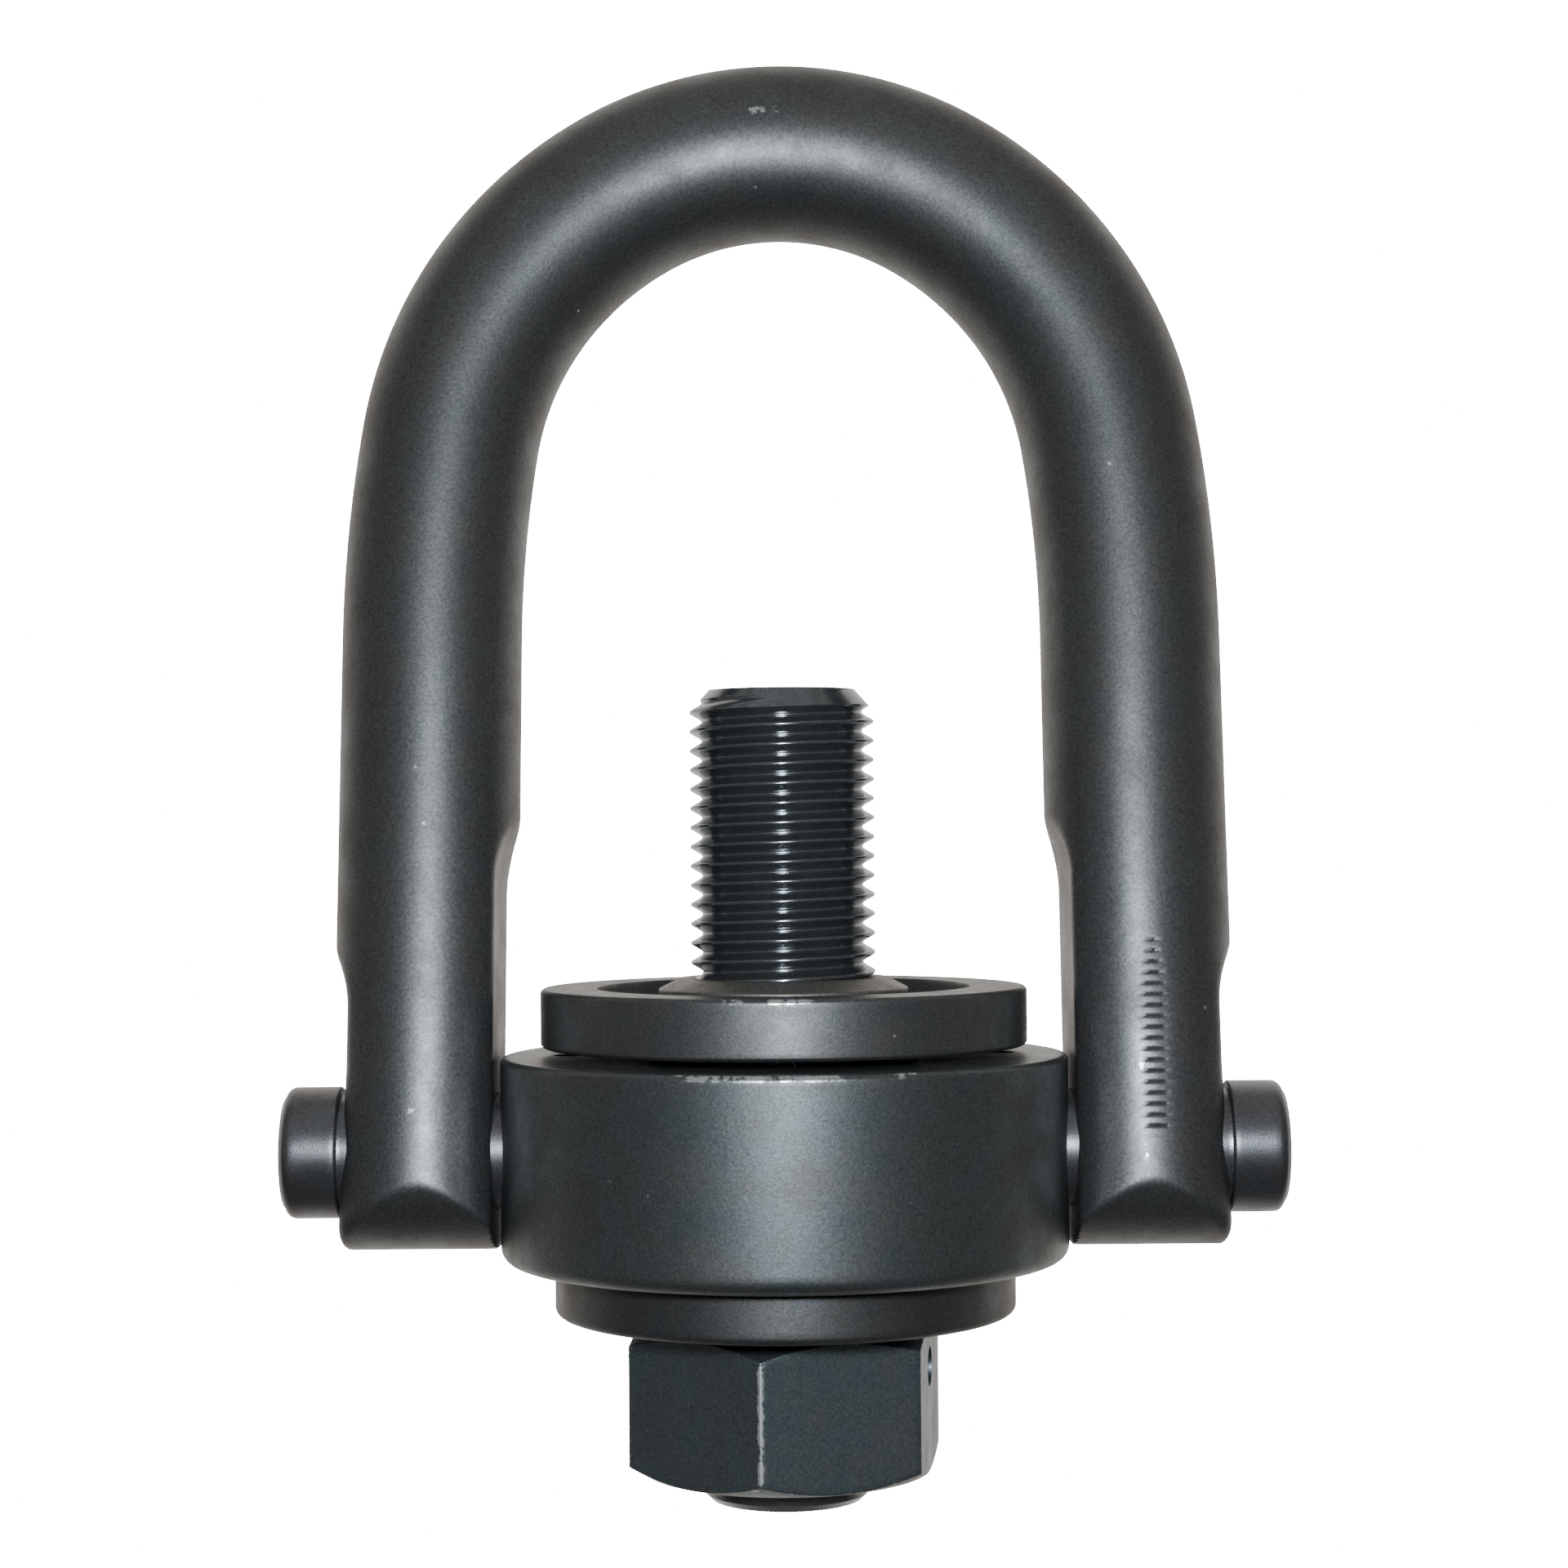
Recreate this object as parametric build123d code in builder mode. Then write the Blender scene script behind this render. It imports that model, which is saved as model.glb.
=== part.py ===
from build123d import *
from math import cos, radians, sin, tan
import os

# Swivel hoist ring with a threaded stud: a forged U-shaped bail pivots on two
# shoulder pins in a round swivel body, and the body turns on a flanged bushing
# that the stud runs through.
#
# Frame: origin at the centre of the mounting face, +Z out of that face along
# the stud, +X through the right-hand shoulder pin. Millimetres.

# stud: M48 x 5 thread, drawn as a plain cylinder of the thread's major diameter
stud_radius = 24.0
stud_tip_radius = 19.0
stud_tip_chamfer = 5.5
stud_groove_radius = 22.5
stud_groove_bottom = -4.0
stud_top = 77.2
stud_bottom = -132.5
stud_tail_radius = 21.3
stud_tail_chamfer = 1.7
stud_clearance = 0.05

# flanged bushing: the flange carries the mounting face, the sleeve the swivel
flange_radius = 63.2
flange_thickness = 15.2
flange_chamfer = 0.8
recess_radius = 48.5
recess_depth = 4.0
sleeve_radius = 35.0
sleeve_bore_radius = 24.4
sleeve_end = -71.4

# rubber stop ring in a groove of the stud, inside the recess of the mounting face
stop_ring_radius = 32.5
stop_ring_land_radius = 27.0
stop_ring_proud = 2.4
stop_ring_shoulder = -0.4
stop_ring_bottom = -3.6

# swivel body
body_radius = 73.7
body_top = -17.6
body_bottom = -70.4
body_bore_radius = 35.4
body_top_chamfer = 1.0
body_bottom_fillet = 4.0

# thrust washer under the body, with a raised seat for the nut
washer_radius = 59.8
washer_thickness = 12.8
washer_top_chamfer = 0.8
washer_bottom_fillet = 2.2
seat_radius = 36.0
seat_height = 3.0

# hexagon nut, pinned to the stud
nut_across_flats = 75.0
nut_height = 38.0
nut_turn = -8.6
nut_chamfer_angle = 30.0
nut_countersink = 1.6
nut_pin_radius = 5.0
nut_pin_drop = 10.9
nut_pin_length = 72.0
nut_pin_chamfer = 0.9

# shoulder pins that carry the bail
pin_height = -42.4
pin_radius = 15.0
pin_inner_end = 41.0
pin_shoulder = 114.9
pin_head_radius = 17.05
pin_crown = 131.0
pin_crown_height = 1.8
pin_head_fillet = 2.6
pin_shoulder_chamfer = 0.4
pin_fit = 0.05
pin_end_chamfer = 1.0
body_pin_gap = 0.6

# roll pins that keep the shoulder pins in the body
roll_pin_radius = 4.0
roll_pin_x = 56.0
roll_pin_hole_depth = 48.0
roll_pin_length = 47.5
roll_pin_wall = 1.6

# bail: round bar bent to a U. It leans back about the shoulder pins.
bar_radius = 24.0
bail_lean = 10.5
leg_x = 93.6
leg_straight = 136.7
easing_radius = 376.0
easing_turn = 8.6
shoulder_radius = 98.8
shoulder_turn = 59.0
leg_inner_flat = 74.7
leg_flat_top = 69.0
leg_flat_runout_radius = 36.0
leg_end_radius = 26.9
leg_end_rise = 1.7
leg_hole_radius = 15.3
waist_top = 51.0
waist_deepest = 36.0
waist_even_to = 20.0
waist_depth = 4.5
waist_end_depth = 2.9

# faces and the cross pin's plane that several pieces share
washer_bottom = sleeve_end - washer_thickness
nut_top = washer_bottom - seat_height
nut_bottom = nut_top - nut_height
nut_pin_plane = Plane(
    origin=(0, 0, nut_top - nut_pin_drop),
    x_dir=(0, 0, 1),
    z_dir=(cos(radians(nut_turn)), sin(radians(nut_turn)), 0),
)
roll_pin_bottom = body_top - roll_pin_hole_depth

os.makedirs("parts", exist_ok=True)

# ---------------------------------------------------------------- stud
with BuildPart() as stud:
    with BuildSketch(Plane.XZ):
        with BuildLine():
            Polyline(
                (0, stud_bottom),
                (stud_tail_radius - stud_tail_chamfer, stud_bottom),
                (stud_tail_radius, stud_bottom + stud_tail_chamfer),
                (stud_tail_radius, nut_bottom),
                (stud_radius, nut_bottom + stud_radius - stud_tail_radius),
                (stud_radius, stud_groove_bottom),
                (stud_groove_radius, stud_groove_bottom),
                (stud_groove_radius, stop_ring_proud),
                (stud_radius, stop_ring_proud),
                (stud_radius, stud_top - stud_tip_chamfer),
                (stud_tip_radius, stud_top),
                (0, stud_top),
                close=True,
            )
        make_face()
    revolve(axis=Axis.Z)
    # cross hole for the nut's pin
    with BuildSketch(nut_pin_plane):
        Circle(nut_pin_radius + pin_fit)
    extrude(amount=2 * stud_radius, both=True, mode=Mode.SUBTRACT)
stud.part.label = "stud"
export_step(stud.part, "parts/stud.step")

# ---------------------------------------------------------------- flanged bushing
with BuildPart() as flange_bushing:
    with BuildSketch(Plane.XY.offset(-flange_thickness)):
        Circle(flange_radius)
    extrude(amount=flange_thickness)
    flange_rims = flange_bushing.edges().filter_by(GeomType.CIRCLE)
    chamfer(flange_rims, length=flange_chamfer)
    with BuildSketch(Plane.XY.offset(-recess_depth)):
        Circle(recess_radius)
    extrude(amount=recess_depth, mode=Mode.SUBTRACT)
    with BuildSketch(Plane.XY.offset(sleeve_end)):
        Circle(sleeve_radius)
    extrude(amount=-flange_thickness - sleeve_end)
    with BuildSketch(Plane.XY.offset(sleeve_end)):
        Circle(sleeve_bore_radius)
    extrude(amount=-sleeve_end, mode=Mode.SUBTRACT)
flange_bushing.part.label = "flange_bushing"
export_step(flange_bushing.part, "parts/flange_bushing.step")

# ---------------------------------------------------------------- stop ring
with BuildPart() as stop_ring:
    with BuildSketch(Plane.XZ):
        with BuildLine():
            Polyline(
                (stud_groove_radius + stud_clearance, stop_ring_bottom),
                (stop_ring_radius, stop_ring_bottom),
                (stop_ring_radius, stop_ring_shoulder),
                (stop_ring_land_radius, stop_ring_proud),
                (stud_groove_radius + stud_clearance, stop_ring_proud),
                close=True,
            )
        make_face()
    revolve(axis=Axis.Z)
stop_ring.part.label = "stop_ring"
export_step(stop_ring.part, "parts/stop_ring.step")

# ---------------------------------------------------------------- swivel body
with BuildPart() as swivel_body:
    with BuildSketch(Plane.XY.offset(body_bottom)):
        Circle(body_radius)
    extrude(amount=body_top - body_bottom)
    chamfer(swivel_body.edges().group_by(Axis.Z)[-1], length=body_top_chamfer)
    fillet(swivel_body.edges().group_by(Axis.Z)[0], radius=body_bottom_fillet)
    with BuildSketch(Plane.XY.offset(body_bottom)):
        Circle(body_bore_radius)
    extrude(amount=body_top - body_bottom, mode=Mode.SUBTRACT)
    # blind holes for the two shoulder pins
    for side in (-1, 1):
        pin_socket_plane = Plane(
            origin=(side * (pin_inner_end - body_pin_gap), 0, pin_height),
            x_dir=(0, 1, 0),
            z_dir=(side, 0, 0),
        )
        with BuildSketch(pin_socket_plane):
            Circle(pin_radius + pin_fit)
        extrude(amount=body_radius, mode=Mode.SUBTRACT)
    # holes for the roll pins, bored down from the top face
    with BuildSketch(Plane.XY.offset(roll_pin_bottom)):
        with Locations((-roll_pin_x, 0), (roll_pin_x, 0)):
            Circle(roll_pin_radius + pin_fit)
    extrude(amount=roll_pin_hole_depth, mode=Mode.SUBTRACT)
swivel_body.part.label = "swivel_body"
export_step(swivel_body.part, "parts/swivel_body.step")

# ---------------------------------------------------------------- thrust washer
with BuildPart() as thrust_washer:
    with BuildSketch(Plane.XY.offset(washer_bottom)):
        Circle(washer_radius)
    extrude(amount=washer_thickness)
    chamfer(thrust_washer.edges().group_by(Axis.Z)[-1], length=washer_top_chamfer)
    fillet(thrust_washer.edges().group_by(Axis.Z)[0], radius=washer_bottom_fillet)
    with BuildSketch(Plane.XY.offset(nut_top)):
        Circle(seat_radius)
    extrude(amount=seat_height)
    with BuildSketch(Plane.XY.offset(nut_top)):
        Circle(sleeve_bore_radius)
    extrude(amount=washer_thickness + seat_height, mode=Mode.SUBTRACT)
thrust_washer.part.label = "thrust_washer"
export_step(thrust_washer.part, "parts/thrust_washer.step")

# ---------------------------------------------------------------- hexagon nut
nut_corner_radius = nut_across_flats / 2 / cos(radians(30))
nut_chamfer_drop = (nut_corner_radius - nut_across_flats / 2) * tan(radians(nut_chamfer_angle))
with BuildPart() as hex_nut:
    with BuildSketch(Plane.XY.offset(nut_bottom)):
        RegularPolygon(nut_across_flats / 2, 6, major_radius=False, rotation=nut_turn + 30)
    extrude(amount=nut_height)
    # both ends are turned to a cone that takes the corners off
    with BuildSketch(Plane.XZ):
        with BuildLine():
            Polyline(
                (0, nut_bottom),
                (nut_across_flats / 2, nut_bottom),
                (nut_corner_radius, nut_bottom + nut_chamfer_drop),
                (nut_corner_radius, nut_top - nut_chamfer_drop),
                (nut_across_flats / 2, nut_top),
                (0, nut_top),
                close=True,
            )
        make_face()
    revolve(axis=Axis.Z, mode=Mode.INTERSECT)
    with BuildSketch(Plane.XZ):
        with BuildLine():
            Polyline(
                (0, nut_bottom),
                (stud_radius + nut_countersink, nut_bottom),
                (stud_radius + stud_clearance, nut_bottom + nut_countersink),
                (stud_radius + stud_clearance, nut_top - nut_countersink),
                (stud_radius + nut_countersink, nut_top),
                (0, nut_top),
                close=True,
            )
        make_face()
    revolve(axis=Axis.Z, mode=Mode.SUBTRACT)
    with BuildSketch(nut_pin_plane):
        Circle(nut_pin_radius + pin_fit)
    extrude(amount=nut_across_flats, both=True, mode=Mode.SUBTRACT)
hex_nut.part.label = "hex_nut"
export_step(hex_nut.part, "parts/hex_nut.step")

# ---------------------------------------------------------------- nut's cross pin
with BuildPart() as nut_pin:
    with BuildSketch(nut_pin_plane.offset(-nut_pin_length / 2)):
        Circle(nut_pin_radius)
    extrude(amount=nut_pin_length)
    chamfer(nut_pin.edges().filter_by(GeomType.CIRCLE), length=nut_pin_chamfer)
nut_pin.part.label = "nut_pin"
export_step(nut_pin.part, "parts/nut_pin.step")

# ---------------------------------------------------------------- shoulder pins and their roll pins
pin_crown_radius = (pin_head_radius**2 + pin_crown_height**2) / (2 * pin_crown_height)
for side, side_name in ((-1, "left"), (1, "right")):
    with BuildPart() as shoulder_pin:
        with BuildSketch(Plane.XZ) as shoulder_pin_profile:
            with BuildLine():
                Polyline(
                    (side * pin_inner_end, pin_height),
                    (side * pin_inner_end, pin_height + pin_radius - pin_end_chamfer),
                    (side * (pin_inner_end + pin_end_chamfer), pin_height + pin_radius),
                    (side * pin_shoulder, pin_height + pin_radius),
                    (side * pin_shoulder, pin_height + pin_head_radius - pin_shoulder_chamfer),
                    (side * (pin_shoulder + pin_shoulder_chamfer), pin_height + pin_head_radius),
                    (side * (pin_crown - pin_crown_height), pin_height + pin_head_radius),
                )
                RadiusArc(
                    (side * (pin_crown - pin_crown_height), pin_height + pin_head_radius),
                    (side * pin_crown, pin_height),
                    side * pin_crown_radius,
                )
                Line((side * pin_crown, pin_height), (side * pin_inner_end, pin_height))
            make_face()
            head_corners = shoulder_pin_profile.vertices().group_by(Axis.Y)[-1].sort_by(Axis.X)
            fillet(head_corners[-1 if side > 0 else 0], radius=pin_head_fillet)
        revolve(axis=Axis((0, 0, pin_height), (1, 0, 0)))
        # cross hole that the roll pin passes through
        with BuildSketch(Plane.XY.offset(pin_height)):
            with Locations((side * roll_pin_x, 0)):
                Circle(roll_pin_radius + pin_fit)
        extrude(amount=2 * pin_radius, both=True, mode=Mode.SUBTRACT)
    shoulder_pin.part.label = "shoulder_pin_" + side_name
    export_step(shoulder_pin.part, "parts/shoulder_pin_" + side_name + ".step")

    with BuildPart() as roll_pin:
        with BuildSketch(Plane.XY.offset(roll_pin_bottom)):
            with Locations((side * roll_pin_x, 0)):
                Circle(roll_pin_radius)
                Circle(roll_pin_radius - roll_pin_wall, mode=Mode.SUBTRACT)
        extrude(amount=roll_pin_length)
    roll_pin.part.label = "roll_pin_" + side_name
    export_step(roll_pin.part, "parts/roll_pin_" + side_name + ".step")

# ---------------------------------------------------------------- bail
# The bail's own plane holds the pins' axis and leans back from the stud: its
# local x is the row's X, its local y runs up the legs, its normal faces forward.
bail_plane = Plane(
    origin=(0, 0, pin_height),
    x_dir=(1, 0, 0),
    z_dir=(0, -cos(radians(bail_lean)), sin(radians(bail_lean))),
)
# Right half of the centre line: straight leg, long easing arc, shoulder arc, then
# the bow's own arc, each tangent to the next.
easing_cos, easing_sin = cos(radians(easing_turn)), sin(radians(easing_turn))
shoulder_cos, shoulder_sin = cos(radians(shoulder_turn)), sin(radians(shoulder_turn))
easing_end = (
    leg_x - easing_radius * (1 - easing_cos),
    leg_straight + easing_radius * easing_sin,
)
shoulder_end = (
    easing_end[0] - shoulder_radius * (easing_cos - shoulder_cos),
    easing_end[1] + shoulder_radius * (shoulder_sin - easing_sin),
)
leg_bottom = leg_end_rise - leg_end_radius
bow_radius = shoulder_end[0] / shoulder_cos
bow_top = shoulder_end[1] + bow_radius * (1 - shoulder_sin)
with BuildPart() as bail:
    with BuildLine(bail_plane) as bail_path:
        Line((leg_x, leg_bottom), (leg_x, leg_straight))
        RadiusArc((leg_x, leg_straight), easing_end, -easing_radius)
        RadiusArc(easing_end, shoulder_end, -shoulder_radius)
        RadiusArc(shoulder_end, (0, bow_top), -bow_radius)
        mirror(about=Plane.YZ)
    with BuildSketch(Plane(origin=bail_path.line @ 0, z_dir=bail_path.line % 0)):
        Circle(bar_radius)
    sweep()
    flat_cut = leg_inner_flat - (leg_x - bar_radius)
    runout_rise = (leg_flat_runout_radius**2 - (leg_flat_runout_radius - flat_cut) ** 2) ** 0.5
    bar_outer_x = leg_x + bar_radius
    waist_rise = waist_top - waist_deepest
    waist_arc_radius = (waist_rise**2 + waist_depth**2) / (2 * waist_depth)
    for side in (-1, 1):
        # inner flat that clears the body and runs out of the bar in an arc
        with BuildSketch(bail_plane):
            with BuildLine():
                Polyline(
                    (side * leg_inner_flat, leg_flat_top),
                    (side * leg_inner_flat, 2 * leg_bottom),
                    (side * (leg_x - 2 * bar_radius), 2 * leg_bottom),
                    (side * (leg_x - 2 * bar_radius), leg_flat_top + runout_rise),
                    (side * (leg_x - bar_radius), leg_flat_top + runout_rise),
                )
                RadiusArc(
                    (side * (leg_x - bar_radius), leg_flat_top + runout_rise),
                    (side * leg_inner_flat, leg_flat_top),
                    side * leg_flat_runout_radius,
                )
            make_face()
        extrude(amount=2 * bar_radius, both=True, mode=Mode.SUBTRACT)
        # dressed flat down the outer side of the leg's end, let in with an arc
        with BuildSketch(bail_plane):
            with BuildLine():
                RadiusArc(
                    (side * bar_outer_x, waist_top),
                    (side * (bar_outer_x - waist_depth), waist_deepest),
                    -side * waist_arc_radius,
                )
                Polyline(
                    (side * (bar_outer_x - waist_depth), waist_deepest),
                    (side * (bar_outer_x - waist_depth), waist_even_to),
                    (side * (bar_outer_x - waist_end_depth), leg_bottom),
                    (side * (bar_outer_x - waist_end_depth), 2 * leg_bottom),
                    (side * (bar_outer_x + bar_radius), 2 * leg_bottom),
                    (side * (bar_outer_x + bar_radius), waist_top),
                    (side * bar_outer_x, waist_top),
                )
            make_face()
        extrude(amount=2 * bar_radius, both=True, mode=Mode.SUBTRACT)
    # the legs' ends are rounded, about a line a little above the pins' axis
    with BuildSketch(Plane.YZ.offset(-2 * leg_x)):
        with Locations(Location((0, pin_height), -bail_lean)):
            Rectangle(
                4 * bar_radius,
                2 * leg_end_radius,
                align=(Align.CENTER, Align.MAX),
            )
            with Locations((0, leg_end_rise)):
                Circle(leg_end_radius, mode=Mode.SUBTRACT)
    extrude(amount=4 * leg_x, mode=Mode.SUBTRACT)
    # holes for the shoulder pins
    for side in (-1, 1):
        hole_plane = Plane(
            origin=(side * (leg_x - bar_radius), 0, pin_height),
            x_dir=(0, 1, 0),
            z_dir=(side, 0, 0),
        )
        with BuildSketch(hole_plane):
            Circle(leg_hole_radius)
        extrude(amount=3 * bar_radius, mode=Mode.SUBTRACT)
bail.part.label = "bail"
export_step(bail.part, "parts/bail.step")
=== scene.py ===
import math

import bmesh
import bpy
from mathutils import Matrix, Vector


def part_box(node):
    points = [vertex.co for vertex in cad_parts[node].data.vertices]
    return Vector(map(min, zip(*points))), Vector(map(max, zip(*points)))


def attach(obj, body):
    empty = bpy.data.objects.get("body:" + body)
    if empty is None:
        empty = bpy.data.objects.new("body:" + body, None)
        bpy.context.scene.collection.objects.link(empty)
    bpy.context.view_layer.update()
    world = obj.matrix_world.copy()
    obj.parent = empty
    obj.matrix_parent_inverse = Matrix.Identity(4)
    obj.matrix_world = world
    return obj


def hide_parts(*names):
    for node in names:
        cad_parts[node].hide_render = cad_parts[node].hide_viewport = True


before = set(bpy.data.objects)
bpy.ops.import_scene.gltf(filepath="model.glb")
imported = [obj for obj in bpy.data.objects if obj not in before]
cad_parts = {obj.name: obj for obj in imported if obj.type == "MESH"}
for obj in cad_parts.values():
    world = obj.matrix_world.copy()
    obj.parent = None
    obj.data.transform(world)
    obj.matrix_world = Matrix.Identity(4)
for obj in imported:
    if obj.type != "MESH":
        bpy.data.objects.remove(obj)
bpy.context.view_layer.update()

# ---------------------------------------------------------------- stud
# The stud is one bar of quenched alloy steel, turned, threaded M48 x 5 and blacked in hot
# salts. It runs from the thread above the mounting face, through the bushing, to a plain tail
# under the nut. The thread is a real helix with flat crests and rounded roots.
MM = 0.001
TURN_STEPS = 144


def linear(hex_colour):
    """Turn an sRGB hex colour into the linear values that shaders take."""
    channels = [int(hex_colour[i:i + 2], 16) / 255 for i in (1, 3, 5)]
    return [c / 12.92 if c <= 0.04045 else ((c + 0.055) / 1.055) ** 2.4 for c in channels] + [1.0]


def add_node(tree, kind, inputs=None, **settings):
    """Add a node with its settings; an input is given a value or linked from a socket."""
    node = tree.nodes.new("ShaderNode" + kind)
    for name, value in settings.items():
        setattr(node, name, value)
    for socket, value in (inputs or {}).items():
        if isinstance(value, bpy.types.NodeSocket):
            tree.links.new(value, node.inputs[socket])
        else:
            node.inputs[socket].default_value = value
    return node


def blacked_steel(name, cool, warm, bare, roughness, grain, mottle, wear, specks=0.0, grain_depth=0.028):
    """Oxide-blacked steel: cloudy cool and warm charcoal, fine grain, rubbed edges and specks.

    grain and mottle are the sizes of the grain and of the clouds in millimetres, wear is how far
    the edges are rubbed bare, and specks is the share of the face with small bright scuffs.
    """
    material = bpy.data.materials.new(name)
    material.use_nodes = True
    tree = material.node_tree
    shader = tree.nodes["Principled BSDF"]
    place = add_node(tree, "TexCoord").outputs["Object"]
    clouds = add_node(tree, "TexNoise", {
        "Vector": place, "Scale": 1 / (mottle * MM), "Detail": 5.0, "Roughness": 0.62})
    cloud_edge = add_node(tree, "MapRange", {
        "Value": clouds.outputs["Fac"], "From Min": 0.38, "From Max": 0.62})
    oxide = add_node(tree, "Mix", {
        "Factor": cloud_edge.outputs[0], "A": linear(cool), "B": linear(warm)}, data_type="RGBA")
    fine = add_node(tree, "TexNoise", {
        "Vector": place, "Scale": 1 / (grain * MM), "Detail": 3.0, "Roughness": 0.7})
    # the grain also darkens the oxide a little between its high spots
    grain_shade = add_node(tree, "MapRange", {
        "Value": fine.outputs["Fac"], "From Min": 0.3, "From Max": 0.7, "To Min": 0.66, "To Max": 1.3})
    grained = add_node(tree, "VectorMath", {
        0: oxide.outputs[2], "Scale": grain_shade.outputs[0]}, operation="SCALE")
    # rubbed places: the piece's own wear attribute, broken up by a noise of two millimetres
    edge = add_node(tree, "Attribute", attribute_name="wear")
    ragged = add_node(tree, "TexNoise", {
        "Vector": place, "Scale": 1 / (2.0 * MM), "Detail": 4.0, "Roughness": 0.65})
    rubbed = add_node(tree, "Math", {
        0: edge.outputs["Fac"], 1: ragged.outputs["Fac"]}, operation="MULTIPLY")
    rub_mask = add_node(tree, "MapRange", {
        "Value": rubbed.outputs[0], "From Min": 0.62 - 0.3 * wear, "From Max": 0.74 - 0.26 * wear})
    # scuffs: small cells of which only a few, picked by their random colour, are bright
    cells = add_node(tree, "TexVoronoi", {
        "Vector": place, "Scale": 1 / (3.0 * MM), "Randomness": 1.0})
    dot = add_node(tree, "MapRange", {
        "Value": cells.outputs["Distance"], "From Min": 0.2, "From Max": 0.08})
    chosen = add_node(tree, "SeparateColor", {"Color": cells.outputs["Color"]})
    few = add_node(tree, "Math", {
        0: chosen.outputs["Red"], 1: 1.0 - specks}, operation="GREATER_THAN")
    scuff = add_node(tree, "Math", {0: dot.outputs[0], 1: few.outputs[0]}, operation="MULTIPLY")
    worn = add_node(tree, "Math", {0: rub_mask.outputs[0], 1: scuff.outputs[0]}, operation="MAXIMUM")
    colour = add_node(tree, "Mix", {
        "Factor": worn.outputs[0], "A": grained.outputs[0], "B": linear(bare)}, data_type="RGBA")
    tree.links.new(colour.outputs[2], shader.inputs["Base Color"])
    rough_base = add_node(tree, "MapRange", {
        "Value": clouds.outputs["Fac"], "From Min": 0.3, "From Max": 0.7,
        "To Min": roughness - 0.06, "To Max": roughness + 0.07})
    rough = add_node(tree, "Mix", {
        "Factor": worn.outputs[0], "A": rough_base.outputs[0], "B": 0.3}, data_type="FLOAT")
    tree.links.new(rough.outputs[0], shader.inputs["Roughness"])
    shader.inputs["Metallic"].default_value = 0.85
    bump = add_node(tree, "Bump", {
        "Height": fine.outputs["Fac"], "Strength": 1.0, "Distance": grain_depth * MM})
    tree.links.new(bump.outputs[0], shader.inputs["Normal"])
    return material


lightly_rubbed = 0.6
knocked_bare = 1.15


def soften(bm, width, sharper_than=20):
    """Round every sharp edge and mark the outward ones as places where the blacking rubs off."""
    wear = bm.verts.layers.float.get("wear") or bm.verts.layers.float.new("wear")
    bm.normal_update()
    for outward in (True, False):
        sharp = [e for e in bm.edges if len(e.link_faces) == 2 and e.is_convex == outward
                 and e.calc_face_angle() > math.radians(sharper_than)]
        rounded = bmesh.ops.bevel(bm, geom=sharp, offset=width * MM, segments=3, profile=0.5,
                                  affect="EDGES", material=-1, clamp_overlap=True)
        for vert in rounded["verts"] if outward else ():
            vert[wear] = lightly_rubbed


def knock(bm, rim_height, spans):
    """Knock the blacking off the front of a rim along spans of x; all in millimetres."""
    wear = bm.verts.layers.float["wear"]
    for vert in bm.verts:
        x, z = vert.co.x / MM, vert.co.z / MM
        at_rim = vert.co.y < 0 and abs(z - rim_height) < 1.6 and vert[wear] > 0
        if at_rim and any(low <= x <= high for low, high in spans):
            vert[wear] = knocked_bare


def turned(profile, spacing=1.5, closed=True, steps=TURN_STEPS):
    """Spin a profile of (radius, height) points in millimetres round the Z axis."""
    bm = bmesh.new()
    corners = [Vector((radius, 0, height)) * MM for radius, height in profile]
    line = [bm.verts.new(corners[0])]
    for start, end in zip(corners, corners[1:] + corners[:1] if closed else corners[1:]):
        steps_here = int((end - start).length / (spacing * MM)) + 1
        for step in range(1, steps_here + 1):
            line.append(bm.verts.new(start.lerp(end, step / steps_here)))
    for pair in zip(line, line[1:]):
        bm.edges.new(pair)
    bmesh.ops.spin(bm, geom=bm.verts[:] + bm.edges[:], cent=(0, 0, 0), axis=(0, 0, 1),
                   angle=2 * math.pi, steps=steps, use_merge=True)
    bmesh.ops.remove_doubles(bm, verts=bm.verts, dist=0.001 * MM)
    bmesh.ops.recalc_face_normals(bm, faces=bm.faces)
    return bm


def finished(bm, name, node, body, material, sharp=50):
    """Make the object of a finished mesh, in place of the CAD node, and let it ride its body."""
    bmesh.ops.recalc_face_normals(bm, faces=bm.faces)
    mesh = bpy.data.meshes.new(name)
    bm.to_mesh(mesh)
    bm.free()
    mesh.shade_smooth()
    mesh.set_sharp_from_angle(angle=math.radians(sharp))
    mesh.materials.append(material)
    piece = bpy.data.objects.new(name, mesh)
    bpy.context.scene.collection.objects.link(piece)
    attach(piece, body)
    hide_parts(node)
    return piece


thread_pitch = 5.0
thread_radius = 24.0
thread_root = 20.93
thread_lead_in = 1.71 * thread_pitch
crest_rub = 0.5
thread_steps = 120
neck_radius = 20.7
neck_bottom = -4.0
tip_radius = 19.0
tip_chamfer = 5.5
tail_radius = 21.3
tail_chamfer = 1.7
edge_strip = 0.5
centre_hole_radius = 2.6
centre_hole_floor = 1.6
centre_hole_depth = 1.4
stop_ring_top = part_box("stop_ring")[1].z / MM
stud_low, stud_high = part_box("stud")
stud_top = stud_high.z / MM
stud_bottom = stud_low.z / MM
nut_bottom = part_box("hex_nut")[0].z / MM

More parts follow.
